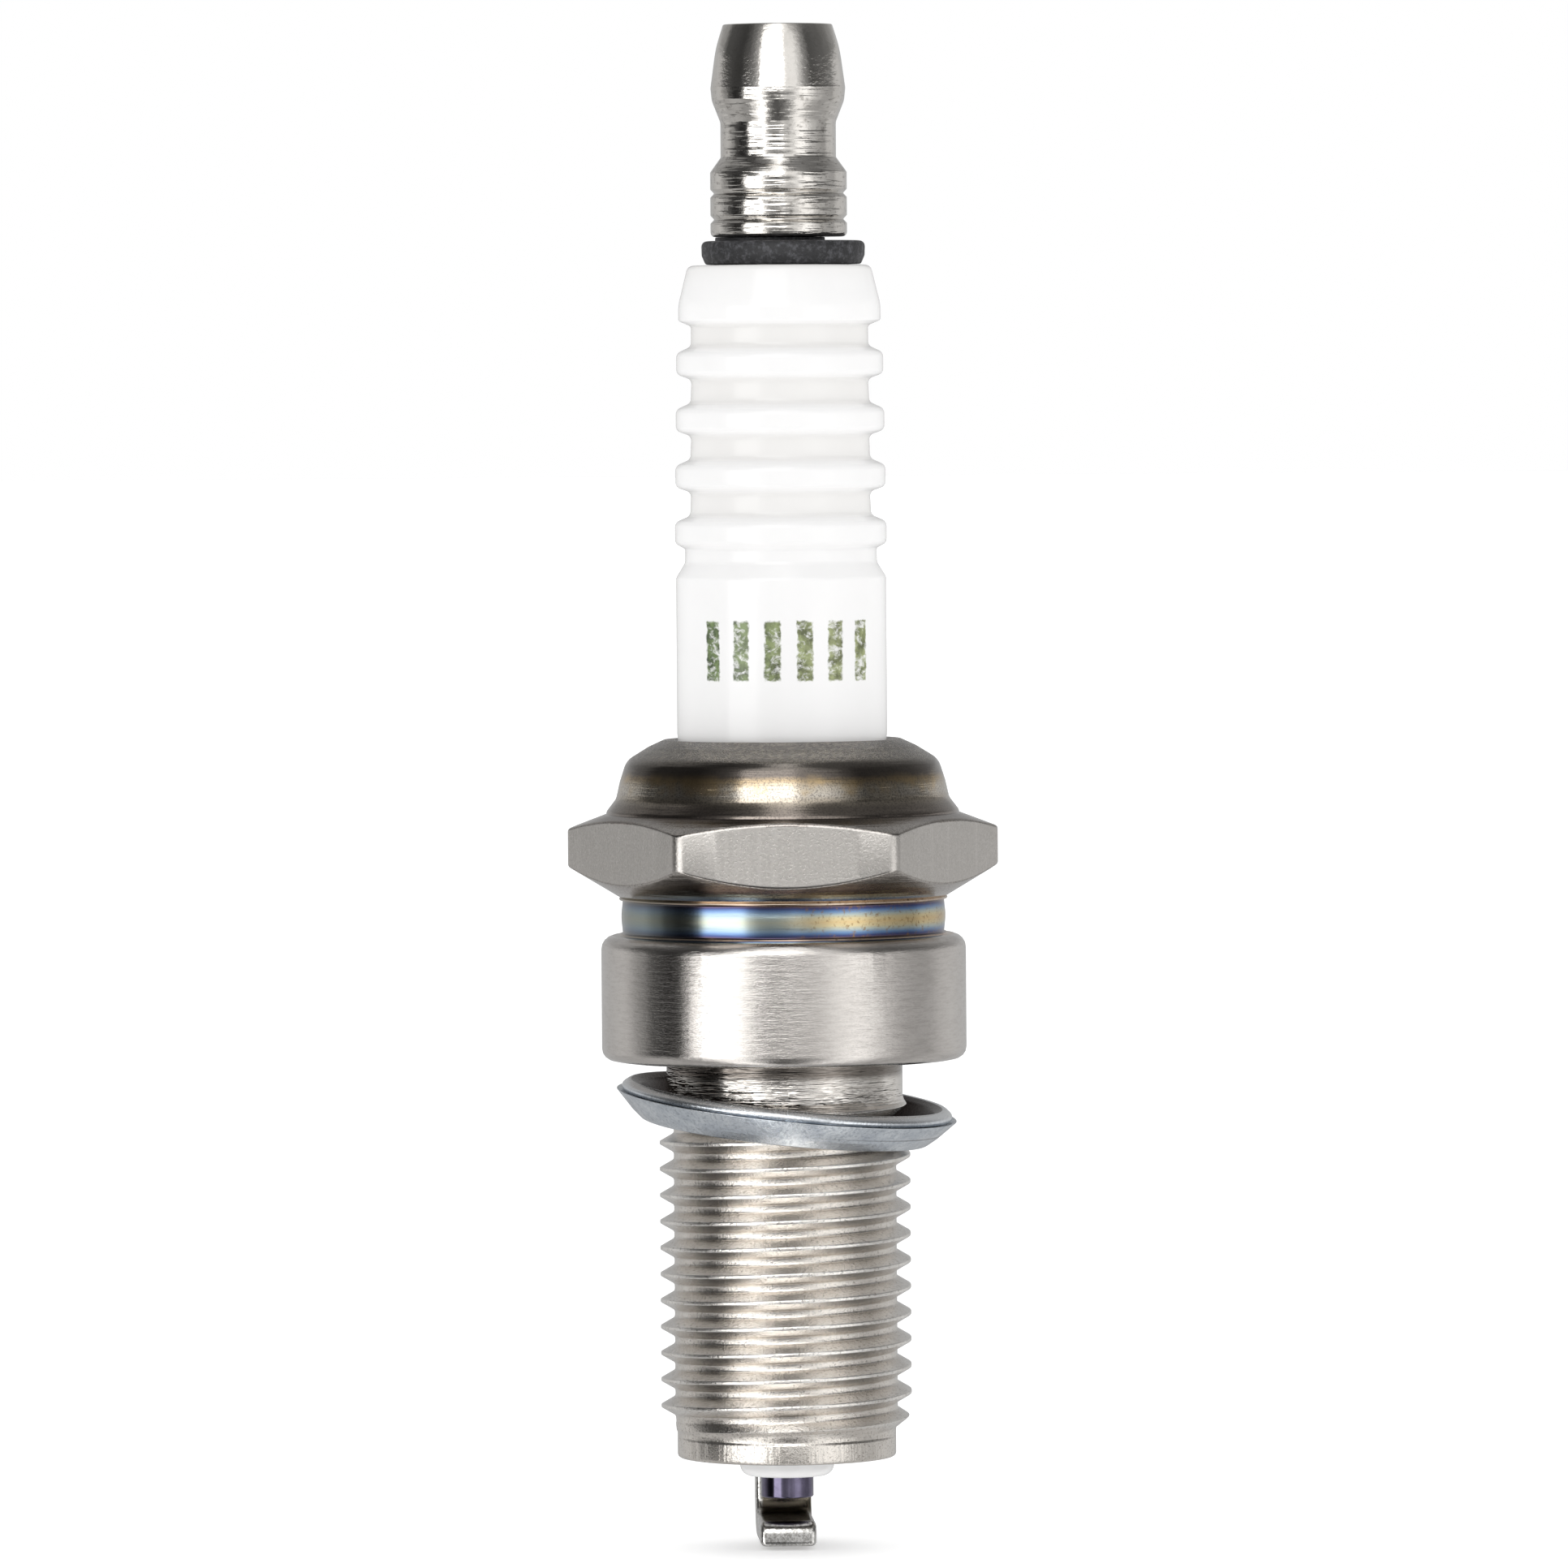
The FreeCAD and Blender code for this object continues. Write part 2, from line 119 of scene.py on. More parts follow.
# Camera and light
PHOTO_SIDE = 1932
PIXELS_PER_MM = 26.0
CAMERA_DISTANCE = 560
EYE_ABOVE_MIDDLE = 19.4
AIM_RIGHT, AIM_ABOVE_MIDDLE = 0.07, 0.1
CAMERA_ROLL = math.radians(-0.388)
STUDIO = 3.0
AMBIENT = 1.0
FLOOR_GLOW = 0.38


# ---------------------------------------------------------------- outlines and meshes

def rounded(corners, arc_points=5, closed=True):
    """Points of an outline whose corners are (r, z) or (r, z, rounding). Every rounding gets arc_points."""
    points = []
    count = len(corners)
    for i, corner in enumerate(corners):
        here = Vector(corner[:2])
        rounding = corner[2] if len(corner) > 2 else 0
        inside = closed or 0 < i < count - 1
        if not rounding or not inside:
            points.append(here)
            continue
        before = (Vector(corners[i - 1][:2]) - here).normalized()
        after = (Vector(corners[(i + 1) % count][:2]) - here).normalized()
        half = before.angle(after) / 2
        centre = here + (before + after).normalized() * (rounding / math.sin(half))
        start = here + before * (rounding / math.tan(half)) - centre
        end = here + after * (rounding / math.tan(half)) - centre
        sweep = start.angle_signed(end)
        for k in range(arc_points):
            turn = Matrix.Rotation(-sweep * k / (arc_points - 1), 2)
            points.append(centre + turn @ start)
    return points


def mesh_object(name, vertices, faces, sharp_angle=38.0, weld=1e-8):
    """Mesh object from metres, with doubled points welded, normals outward and smooth shading."""
    mesh = bpy.data.meshes.new(name)
    mesh.from_pydata(vertices, [], faces)
    bm = bmesh.new()
    bm.from_mesh(mesh)
    bmesh.ops.remove_doubles(bm, verts=bm.verts, dist=weld)
    bmesh.ops.dissolve_degenerate(bm, edges=bm.edges, dist=weld)
    bmesh.ops.recalc_face_normals(bm, faces=bm.faces)
    bm.to_mesh(mesh)
    bm.free()
    mesh.shade_smooth()
    mesh.set_sharp_from_angle(angle=math.radians(sharp_angle))
    piece = bpy.data.objects.new(name, mesh)
    bpy.context.scene.collection.objects.link(piece)
    weighted = piece.modifiers.new("even shading", "WEIGHTED_NORMAL")
    weighted.keep_sharp = True
    return piece


def wrapped_faces(rows, columns):
    """Quads of a grid that closes on itself both ways."""
    faces = []
    for i in range(rows):
        below = ((i + 1) % rows) * columns
        for j in range(columns):
            k = (j + 1) % columns
            faces.append((i * columns + j, i * columns + k, below + k, below + j))
    return faces


def lathe(name, corners, segments=SEGMENTS, arc_points=5):
    """Closed solid of revolution about the plug's axis."""
    outline = rounded(corners, arc_points)
    vertices = []
    for r, z in outline:
        for j in range(segments):
            angle = 2 * math.pi * j / segments
            vertices.append((r * MM * math.cos(angle), r * MM * math.sin(angle), z * MM))
    return mesh_object(name, vertices, wrapped_faces(len(outline), segments))


def dress(piece, body, node, slot, *materials):
    """A finished piece rides on its body, stands for its CAD node and takes its materials."""
    for material in materials:
        piece.data.materials.append(material)
    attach(piece, body)
    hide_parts(node)
    return piece


# ---------------------------------------------------------------- material helpers

class Nodes:
    """Short ways to add shader nodes to one tree."""

    def __init__(self, tree):
        self.tree = tree
        tree.nodes.clear()

    def add(self, kind, **settings):
        """New node of this kind, with these settings."""
        node = self.tree.nodes.new(kind)
        for key, value in settings.items():
            setattr(node, key, value)
        return node

    def link(self, source, target):
        """Links an output to an input."""
        self.tree.links.new(source, target)

    def place(self, value, socket):
        """Sets a socket to a number or colour, or links it."""
        if isinstance(value, bpy.types.NodeSocket):
            self.link(value, socket)
        else:
            socket.default_value = value

    def math(self, operation, a, b=0.0, c=0.0):
        """Result of a math node on up to three numbers or sockets."""
        node = self.add("ShaderNodeMath", operation=operation)
        for value, socket in zip((a, b, c), node.inputs):
            self.place(value, socket)
        return node.outputs[0]

    def step_between(self, value, low, high, soft):
        """1 where value lies between low and high, with soft edges."""
        rise = self.fade(value, low - soft, low + soft)
        fall = self.fade(value, high + soft, high - soft)
        return self.math("MULTIPLY", rise, fall)

    def fade(self, value, start, end):
        """0 at start, 1 at end."""
        node = self.add("ShaderNodeMapRange", interpolation_type="SMOOTHSTEP")
        self.place(value, node.inputs["Value"])
        node.inputs["From Min"].default_value = start
        node.inputs["From Max"].default_value = end
        return node.outputs["Result"]

    def ramp(self, value, stops, interpolation="LINEAR"):
        """Colours by place: stops are (place, colour), with colour a grey number or (r, g, b)."""
        node = self.add("ShaderNodeValToRGB")
        node.color_ramp.interpolation = interpolation
        elements = node.color_ramp.elements
        while len(elements) < len(stops):
            elements.new(1.0)
        for element, (place, colour) in zip(elements, stops):
            element.position = place
            element.color = (colour, colour, colour, 1) if isinstance(colour, (int, float)) else (*colour, 1)
        self.place(value, node.inputs["Fac"])
        return node.outputs["Color"]

    def mix(self, factor, a, b, blend="MIX"):
        """Colour between a and b."""
        node = self.add("ShaderNodeMix", data_type="RGBA", blend_type=blend)
        for value, socket in ((factor, node.inputs["Factor"]), (a, node.inputs["A"]), (b, node.inputs["B"])):
            value = (*value, 1) if isinstance(value, tuple) and len(value) == 3 else value
            self.place(value, socket)
        return node.outputs["Result"]

    def noise(self, scale, detail=3.0, rough=0.5, vector=None, distortion=0.0):
        """Noise from 0 to 1, by place."""
        node = self.add("ShaderNodeTexNoise")
        node.inputs["Scale"].default_value = scale
        node.inputs["Detail"].default_value = detail
        node.inputs["Roughness"].default_value = rough
        node.inputs["Distortion"].default_value = distortion
        if vector is not None:
            self.link(vector, node.inputs["Vector"])
        return node.outputs["Fac"]

    def place_mm(self):
        """Place on the piece in millimetres, and its x, y and z."""
        coordinates = self.add("ShaderNodeTexCoord").outputs["Object"]
        scale = self.add("ShaderNodeVectorMath", operation="SCALE")
        scale.inputs["Scale"].default_value = 1 / MM
        self.link(coordinates, scale.inputs[0])
        split = self.add("ShaderNodeSeparateXYZ")
        self.link(scale.outputs[0], split.inputs[0])
        return scale.outputs[0], split.outputs[0], split.outputs[1], split.outputs[2]

    def radius(self, x, y):
        """Distance from an axis, from two coordinates."""
        return self.math("SQRT", self.math("ADD", self.math("MULTIPLY", x, x), self.math("MULTIPLY", y, y)))

    def stretched(self, vector, sx, sy, sz):
        """Place scaled along each axis, to draw a noise out into lines."""
        node = self.add("ShaderNodeVectorMath", operation="MULTIPLY")
        node.inputs[1].default_value = (sx, sy, sz)
        self.link(vector, node.inputs[0])
        return node.outputs[0]

    def bump(self, height, depth_mm, strength=1.0):
        """Normal of a surface with this height, which spans depth_mm."""
        node = self.add("ShaderNodeBump")
        node.inputs["Strength"].default_value = strength
        node.inputs["Distance"].default_value = depth_mm * MM
        self.link(height, node.inputs["Height"])
        return node.outputs["Normal"]


def surface(name, **constants):
    """New material with a Principled shader. Returns (material, helper, shader)."""
    material = bpy.data.materials.new(name)
    material.use_nodes = True
    helper = Nodes(material.node_tree)
    shader = helper.add("ShaderNodeBsdfPrincipled")
    output = helper.add("ShaderNodeOutputMaterial")
    helper.link(shader.outputs[0], output.inputs["Surface"])
    for key, value in constants.items():
        shader.inputs[key.replace("_", " ")].default_value = value
    return material, helper, shader


def turned_metal(name, base, dark, roughness, streak=0.10, line_depth=0.003, blotch=0.25, lines=9.0):
    """Plated metal with fine turning lines round the axis, faint blotches and uneven gloss."""
    material, n, shader = surface(name, Metallic=1.0)
    place = n.place_mm()[0]
    rings = n.noise(1.0, 4.0, 0.65, n.stretched(place, 0.22, 0.22, lines))
    broken = n.noise(1.0, 5.0, 0.75, n.stretched(place, 1.1, 1.1, lines))
    cloud = n.noise(0.45, 4.0, 0.6, place)
    fleck = n.noise(14.0, 2.0, 0.6, place)
    colour = n.mix(n.ramp(cloud, [(0.35, 0.0), (0.7, blotch)]), base, dark)
    colour = n.mix(n.ramp(broken, [(0.45, 0.0), (0.72, 0.45)]), colour, dark)
    colour = n.mix(n.ramp(fleck, [(0.66, 0.0), (0.74, 0.35)]), colour, dark)
    n.link(colour, shader.inputs["Base Color"])
    uneven = n.math("ADD", n.math("MULTIPLY", rings, 0.5), n.math("MULTIPLY", broken, 0.5))
    gloss = n.math("MULTIPLY_ADD", n.math("SUBTRACT", uneven, 0.5), 2 * streak, roughness)
    n.link(gloss, shader.inputs["Roughness"])
    height = n.math("ADD", n.math("MULTIPLY", rings, 0.5), n.math("MULTIPLY", broken, 1.0))
    n.link(n.bump(height, line_depth), shader.inputs["Normal"])
    return material


# ---------------------------------------------------------------- materials

NICKEL = (0.62, 0.59, 0.56)
NICKEL_DARK = (0.38, 0.355, 0.33)


def hex_metal():
    """Plated flats: even, slightly grained, with faint upright drawing marks."""
    material, n, shader = surface("nickel_flats", Metallic=1.0)
    place = n.place_mm()[0]
    grain = n.noise(9.0, 4.0, 0.7, place)
    drawn = n.noise(1.0, 2.0, 0.5, n.stretched(place, 2.6, 2.6, 0.05))
    colour = n.mix(n.ramp(grain, [(0.40, 0.0), (0.66, 0.5)]), (0.57, 0.545, 0.515), (0.39, 0.37, 0.345))
    colour = n.mix(n.ramp(drawn, [(0.55, 0.0), (0.7, 0.3)]), colour, (0.66, 0.63, 0.60))
    n.link(colour, shader.inputs["Base Color"])
    n.link(n.math("MULTIPLY_ADD", grain, 0.14, 0.22), shader.inputs["Roughness"])
    n.link(n.bump(grain, 0.014), shader.inputs["Normal"])
    return material


def crimp_metal():
    """Crimped lip and shoulder: dark, with brown and straw heat tints on the dome and a rough, flecked lip; the
    light and dark bands up the dome are partly heat tint and partly painted reflection.
    """
    material, n, shader = surface("nickel_crimp", Metallic=1.0)
    place, _, _, z = n.place_mm()
    cloud = n.noise(0.55, 4.0, 0.6, place)
    rings = n.noise(1.0, 3.0, 0.6, n.stretched(place, 0.2, 0.2, 5.0))
    speck = n.noise(12.0, 3.0, 0.7, place)
    wavy = n.math("MULTIPLY_ADD", cloud, 0.35, n.math("SUBTRACT", z, 0.17))
    height = n.math("MULTIPLY", n.math("SUBTRACT", wavy, CRIMP_LOW), 1 / (CRIMP_HIGH - CRIMP_LOW))
    # Bands up the dome, partly heat tint and partly painted reflection: the lighter band from 0.31 to 0.46 is a
    # painted highlight, the dark band from 0.54 to 0.70 a painted dark reflection.
    base = n.ramp(height, [
        (0.00, (0.46, 0.43, 0.40)), (0.08, (0.22, 0.19, 0.17)), (0.22, (0.24, 0.21, 0.18)),
        (0.31, (0.42, 0.37, 0.30)), (0.37, (0.52, 0.48, 0.42)), (0.46, (0.50, 0.45, 0.37)),
        (0.54, (0.36, 0.28, 0.18)), (0.60, (0.15, 0.13, 0.115)), (0.70, (0.15, 0.135, 0.12)),
        (0.79, (0.26, 0.24, 0.215)), (0.87, (0.30, 0.28, 0.25)), (0.93, (0.18, 0.165, 0.15))])
    base = n.mix(n.ramp(speck, [(0.48, 0.0), (0.62, 0.6)]), base, (0.09, 0.08, 0.075))
    on_lip = n.fade(z, 14.15, 14.5)
    flecks = n.ramp(n.noise(4.6, 4.0, 0.7, place), [(0.45, 0.0), (0.62, 0.40)])
    base = n.mix(n.math("MULTIPLY", flecks, on_lip), base, (0.60, 0.54, 0.45))
    straw = n.math("MULTIPLY", n.step_between(z, 12.7, 13.6, 0.25), n.ramp(cloud, [(0.48, 0.0), (0.64, 0.6)]))
    colour = n.mix(straw, base, (0.52, 0.38, 0.20))
    n.link(colour, shader.inputs["Base Color"])
    n.link(n.math("MULTIPLY_ADD", rings, 0.10, 0.06), shader.inputs["Roughness"])
    rough_lip = n.math("MULTIPLY", speck, n.math("MULTIPLY_ADD", on_lip, 2.8, 0.12))
    n.link(n.bump(n.math("ADD", rings, rough_lip), 0.020), shader.inputs["Normal"])
    return material


def tint_metal():
    """Heat-tinted groove: straw lips, then violet, blue, pale blue and a green-gold middle."""
    material, n, shader = surface("heat_tint", Metallic=1.0)
    place, x, _, z = n.place_mm()
    wave = n.noise(0.35, 3.0, 0.5, place)
    fine = n.noise(1.0, 3.0, 0.6, n.stretched(place, 0.5, 0.5, 6.0))
    middle, half = (BAND_LOW + BAND_HIGH) / 2, 0.87
    across = n.math("DIVIDE", n.math("ABSOLUTE", n.math("SUBTRACT", z, middle)), half)
    across = n.math("ADD", across, n.math("MULTIPLY", n.math("SUBTRACT", wave, 0.5), 0.16))
    across = n.math("ADD", across, n.math("MULTIPLY", n.math("SUBTRACT", fine, 0.5), 0.08))
    cool = n.ramp(across, [
        (0.00, (0.40, 0.42, 0.35)), (0.25, (0.34, 0.40, 0.39)), (0.45, (0.24, 0.33, 0.42)),
        (0.60, (0.12, 0.19, 0.33)), (0.74, (0.045, 0.06, 0.15)), (0.86, (0.10, 0.07, 0.09)),
        (0.93, (0.48, 0.36, 0.28)), (1.00, (0.62, 0.53, 0.44))])
    warm = n.ramp(across, [
        (0.00, (0.58, 0.44, 0.23)), (0.22, (0.56, 0.48, 0.29)), (0.40, (0.38, 0.43, 0.40)),
        (0.58, (0.13, 0.22, 0.38)), (0.74, (0.045, 0.06, 0.16)), (0.86, (0.10, 0.07, 0.09)),
        (0.93, (0.48, 0.36, 0.28)), (1.00, (0.62, 0.53, 0.44))])
    golden_side = n.fade(n.math("ADD", x, n.math("MULTIPLY", wave, 3.0)), 0.5, 4.0)
    # Darker grey-green towards the left (-x): partly olive oxide, partly painted shade on that side.
    left = n.fade(x, -3.4, -6.4)
    colour = n.mix(n.math("MULTIPLY", left, 0.55), n.mix(golden_side, cool, warm), (0.20, 0.22, 0.20))
    speckle = n.ramp(n.noise(5.0, 4.0, 0.75, place), [(0.54, 0.0), (0.66, 0.7)])
    colour = n.mix(n.math("MULTIPLY", speckle, golden_side), colour, (0.22, 0.13, 0.05))
    n.link(colour, shader.inputs["Base Color"])
    n.link(n.math("MULTIPLY_ADD", fine, 0.12, 0.10), shader.inputs["Roughness"])
    n.link(n.bump(fine, 0.004), shader.inputs["Normal"])
    return material


def thread_metal():
    """Rolled thread: warm bright crests, browner roots, small nicks along the crests, and painted shade on the
    neck just under the seat.
    """
    material, n, shader = surface("nickel_thread", Metallic=1.0)
    place, x, y, z = n.place_mm()
    radius = n.radius(x, y)
    depth = n.fade(radius, CREST_R, ROOT_R - 0.03)
    cloud = n.noise(0.8, 4.0, 0.6, place)
    nick = n.noise(7.0, 4.0, 0.7, n.stretched(place, 1.0, 1.0, 1.6))
    colour = n.mix(depth, (0.86, 0.835, 0.80), (0.74, 0.70, 0.65))
    colour = n.mix(n.ramp(cloud, [(0.4, 0.0), (0.7, 0.4)]), colour, (0.58, 0.54, 0.49))
    nicked = n.math("MULTIPLY", n.ramp(nick, [(0.55, 0.0), (0.66, 0.65)]), n.fade(z, -1.9, -2.5))
    colour = n.mix(nicked, colour, (0.22, 0.195, 0.165))
    # Painted shade: the neck darkens towards the seat, where the seat and gasket shade it.
    painted_shade_under_seat = n.math("MULTIPLY", n.fade(z, -0.95, -0.50), 0.85)
    colour = n.mix(painted_shade_under_seat, colour, (0.12, 0.10, 0.085))
    n.link(colour, shader.inputs["Base Color"])
    n.link(n.math("MULTIPLY_ADD", nick, 0.10, 0.02), shader.inputs["Roughness"])
    lines = n.noise(1.0, 3.0, 0.6, n.stretched(place, 0.3, 0.3, 5.5))
    dents = n.noise(1.0, 3.0, 0.6, n.stretched(place, 1.1, 1.1, 0.12))
    on_neck, on_end = n.fade(z, -2.4, -2.0), n.fade(z, THREAD_END, THREAD_END - 0.15)
    height = n.math("ADD", n.math("MULTIPLY", lines, on_neck), n.math("MULTIPLY", dents, on_end))
    height = n.math("MULTIPLY_ADD", height, 5.0, n.math("MULTIPLY", nick, n.math("SUBTRACT", 1.0, on_neck)))
    n.link(n.bump(height, 0.020), shader.inputs["Normal"])
    return material


def nut_metal():
    """Bright nickel nut with turning lines on its neck and barrel and a smooth bulb."""
    material, n, shader = surface("plated_nut", Metallic=1.0)
    place, _, _, z = n.place_mm()
    rings = n.noise(1.0, 2.0, 0.5, n.stretched(place, 0.30, 0.30, 4.2))
    nick = n.noise(3.0, 3.0, 0.6, n.stretched(place, 1.0, 1.0, 1.8))
    cloud = n.noise(0.9, 4.0, 0.6, place)
    below_bulb = n.fade(z, 46.1, 45.6)
    colour = n.mix(n.ramp(cloud, [(0.4, 0.0), (0.7, 0.5)]), (0.66, 0.635, 0.60), (0.50, 0.475, 0.44))
    wear = n.math("MULTIPLY_ADD", below_bulb, 0.8, 0.2)
    worn = n.math("MULTIPLY", n.ramp(nick, [(0.55, 0.0), (0.68, 0.6)]), wear)
    colour = n.mix(worn, colour, (0.20, 0.185, 0.17))
    n.link(colour, shader.inputs["Base Color"])
    n.link(n.math("MULTIPLY_ADD", nick, 0.08, 0.05), shader.inputs["Roughness"])
    lines = n.math("MULTIPLY", rings, below_bulb)
    height = n.math("ADD", lines, n.math("MULTIPLY", nick, 0.12))
    n.link(n.bump(height, 0.085), shader.inputs["Normal"])
    return material


def zinc_metal():
    """Satin zinc plate, bluish, with pale dusty blotches, a painted highlight on the top of the bead and painted
    shade inside the fold.
    """
    material, n, shader = surface("zinc_plate", Metallic=1.0)
    place, x, y, _ = n.place_mm()
    cloud = n.noise(0.9, 5.0, 0.65, place)
    dust = n.noise(6.0, 4.0, 0.7, place)
    radius = n.radius(n.math("SUBTRACT", x, GASKET_CENTRE.x), y)
    upright = GASKET_TILT @ Vector((0, 0, 1))
    level = n.add("ShaderNodeVectorMath", operation="DOT_PRODUCT")
    level.inputs[1].default_value = upright
    n.link(place, level.inputs[0])
    above = n.math("SUBTRACT", level.outputs["Value"], GASKET_CENTRE.dot(upright))
    colour = n.mix(n.ramp(cloud, [(0.35, 0.0), (0.65, 1.0)]), (0.56, 0.605, 0.66), (0.76, 0.80, 0.84))
    colour = n.mix(n.ramp(dust, [(0.50, 0.0), (0.66, 0.6)]), colour, (0.30, 0.33, 0.37))
    # Painted highlight: the top of the bead is made lighter.
    colour = n.mix(n.fade(above, 0.1, 0.35), colour, (0.80, 0.82, 0.84))
    # Painted shade: the inside of the fold is made near black.
    inside = n.math("MULTIPLY", n.fade(radius, 7.42, 7.34), n.fade(above, -0.74, -0.62))
    colour = n.mix(inside, colour, (0.035, 0.028, 0.026))
    n.link(colour, shader.inputs["Base Color"])
    n.link(n.math("MULTIPLY_ADD", dust, 0.24, 0.12), shader.inputs["Roughness"])
    n.link(n.bump(dust, 0.016), shader.inputs["Normal"])
    return material


def ceramic():
    """White glazed alumina with faint warm shading in the grooves and a band of worn green ink bars."""
    material, n, shader = surface("glazed_ceramic", Roughness=0.10, Specular_IOR_Level=0.3)
    place, x, y, z = n.place_mm()
    radius = n.radius(x, y)
    cloud = n.noise(0.35, 4.0, 0.6, place)
    speck = n.noise(3.2, 2.0, 0.5, place)
    white = n.mix(n.ramp(cloud, [(0.35, 0.0), (0.7, 0.6)]), (0.905, 0.902, 0.90), (0.88, 0.875, 0.873))
    groove = n.math("MULTIPLY", n.fade(radius, 4.6, 4.15), n.fade(z, 23.0, 24.2))
    white = n.mix(n.math("MULTIPLY", groove, 0.6), white, (0.82, 0.805, 0.78))
    white = n.mix(n.ramp(speck, [(0.80, 0.0), (0.83, 0.35)]), white, (0.50, 0.47, 0.42))

    angle = n.math("ARCTAN2", x, n.math("MULTIPLY", y, -1.0))
    along = n.math("MULTIPLY", angle, INK_R)
    across = n.math("PINGPONG", n.math("SUBTRACT", along, BAR_MIDDLE + BAR_PITCH / 2), BAR_PITCH / 2)
    ragged = n.math("MULTIPLY_ADD", n.noise(3.2, 4.0, 0.6, place), 0.30, -0.15)
    bars = n.fade(n.math("ADD", across, ragged), BAR_WIDTH / 2 + 0.05, BAR_WIDTH / 2 - 0.05)
    group = n.step_between(along, BAR_MIDDLE - BAR_SPREAD, BAR_MIDDLE + BAR_SPREAD, 0.02)
    high = n.step_between(n.math("ADD", z, ragged), BAR_LOW, BAR_HIGH, 0.06)
    scrape = n.noise(1.0, 4.0, 0.7, n.stretched(place, 2.2, 2.2, 2.8), 0.4)
    worn = n.ramp(scrape, [(0.34, 0.15), (0.50, 0.95)])
    ink = n.math("MULTIPLY", n.math("MULTIPLY", bars, group), n.math("MULTIPLY", high, worn))
    patch = n.ramp(n.noise(1.6, 4.0, 0.7, place), [(0.38, 0.0), (0.62, 1.0)])
    left_shade = n.mix(patch, (0.035, 0.055, 0.022), (0.17, 0.24, 0.09))
    right_shade = n.mix(patch, (0.09, 0.105, 0.035), (0.32, 0.36, 0.16))
    shade = n.mix(n.fade(x, -3.5, 2.5), left_shade, right_shade)
    n.link(n.mix(ink, white, shade), shader.inputs["Base Color"])
    n.link(n.bump(n.noise(0.5, 2.0, 0.5, place), 0.02, 0.4), shader.inputs["Normal"])
    return material


def rubber():
    """Black rubber, slightly grey with wear and scuffed round the edge."""
    material, n, shader = surface("black_rubber", Metallic=0.0)
    place = n.place_mm()[0]
    scuff = n.noise(3.5, 5.0, 0.7, place)
    fine = n.noise(12.0, 3.0, 0.6, place)
    colour = n.mix(n.ramp(scuff, [(0.48, 0.0), (0.70, 1.0)]), (0.018, 0.018, 0.020), (0.10, 0.10, 0.11))
    n.link(colour, shader.inputs["Base Color"])
    n.link(n.math("MULTIPLY_ADD", fine, 0.2, 0.42), shader.inputs["Roughness"])
    n.link(n.bump(n.math("ADD", scuff, n.math("MULTIPLY", fine, 0.4)), 0.05), shader.inputs["Normal"])
    return material


def alloy(name, base, dark, roughness, grain=6.0, depth=0.01):
    """Bare nickel alloy with a little scale."""
    material, n, shader = surface(name, Metallic=1.0)
    place = n.place_mm()[0]
    cloud = n.noise(1.4, 4.0, 0.6, place)
    fine = n.noise(grain, 4.0, 0.7, place)
    colour = n.mix(n.ramp(cloud, [(0.35, 0.0), (0.7, 0.8)]), base, dark)
    colour = n.mix(n.ramp(fine, [(0.55, 0.0), (0.7, 0.5)]), colour, dark)
    n.link(colour, shader.inputs["Base Color"])
    n.link(n.math("MULTIPLY_ADD", fine, 0.14, roughness), shader.inputs["Roughness"])
    n.link(n.bump(fine, depth), shader.inputs["Normal"])
    return material


def strap_metal():
    """Bright at the free end and the outside, olive brown on the inside of the bend: partly scale, partly painted
    shade.
    """
    material, n, shader = surface("strap_alloy_metal", Metallic=1.0)
    place, x, y, _ = n.place_mm()
    fine = n.noise(7.0, 4.0, 0.7, place)
    cloud = n.noise(1.4, 4.0, 0.6, place)
    bright = n.mix(n.ramp(fine, [(0.44, 0.0), (0.62, 0.8)]), (0.66, 0.65, 0.63), (0.26, 0.25, 0.23))
    # Olive-brown inside of the bend: partly scale, partly painted shade between the leg and the arm.
    scale = n.mix(cloud, (0.20, 0.175, 0.135), (0.12, 0.105, 0.08))
    inside = n.math("MULTIPLY", n.fade(n.math("ABSOLUTE", x), 1.30, 1.12), n.fade(y, -0.75, -0.25))
    n.link(n.mix(inside, bright, scale), shader.inputs["Base Color"])
    n.link(n.math("MULTIPLY_ADD", fine, 0.14, 0.10), shader.inputs["Roughness"])
    n.link(n.bump(fine, 0.010), shader.inputs["Normal"])
    return material


def powder(name, base, dark, roughness):
    """Packed or fused material inside the plug."""
    material, n, shader = surface(name, Metallic=0.0)
    place = n.place_mm()[0]
    grain = n.noise(5.0, 5.0, 0.7, place)
    n.link(n.mix(n.ramp(grain, [(0.35, 0.0), (0.65, 1.0)]), base, dark), shader.inputs["Base Color"])
    n.link(n.math("MULTIPLY_ADD", grain, 0.2, roughness), shader.inputs["Roughness"])
    n.link(n.bump(grain, 0.03), shader.inputs["Normal"])
    return material


# ---------------------------------------------------------------- shell

def hex_radius(angle):
    """Radius of the hexagon with rounded corners, at an angle from +X."""
    third = math.radians(60)
    flat = (angle - HEX_TURN - third / 2) / third
    off = abs(flat - round(flat)) * third
    centre_r = (HEX_FLAT_R - HEX_CORNER_ROUND) / math.cos(third / 2)
    if math.tan(off) <= centre_r * math.sin(third / 2) / HEX_FLAT_R:
        return HEX_FLAT_R / math.cos(off)
    left = third / 2 - off
    return centre_r * math.cos(left) + math.sqrt(HEX_CORNER_ROUND ** 2 - (centre_r * math.sin(left)) ** 2)


def shell_angles():
    """Even angles, with more of them round each corner of the hexagon."""
    step = 2 * math.pi / SEGMENTS
    angles = {round(i * step, 6) for i in range(SEGMENTS)}
    for corner in range(6):
        middle = HEX_TURN + math.radians(60 * corner)
        for k in range(-5, 6):
            angles.add(round((middle + math.radians(0.42 * k)) % (2 * math.pi), 6))
    return sorted(angles)


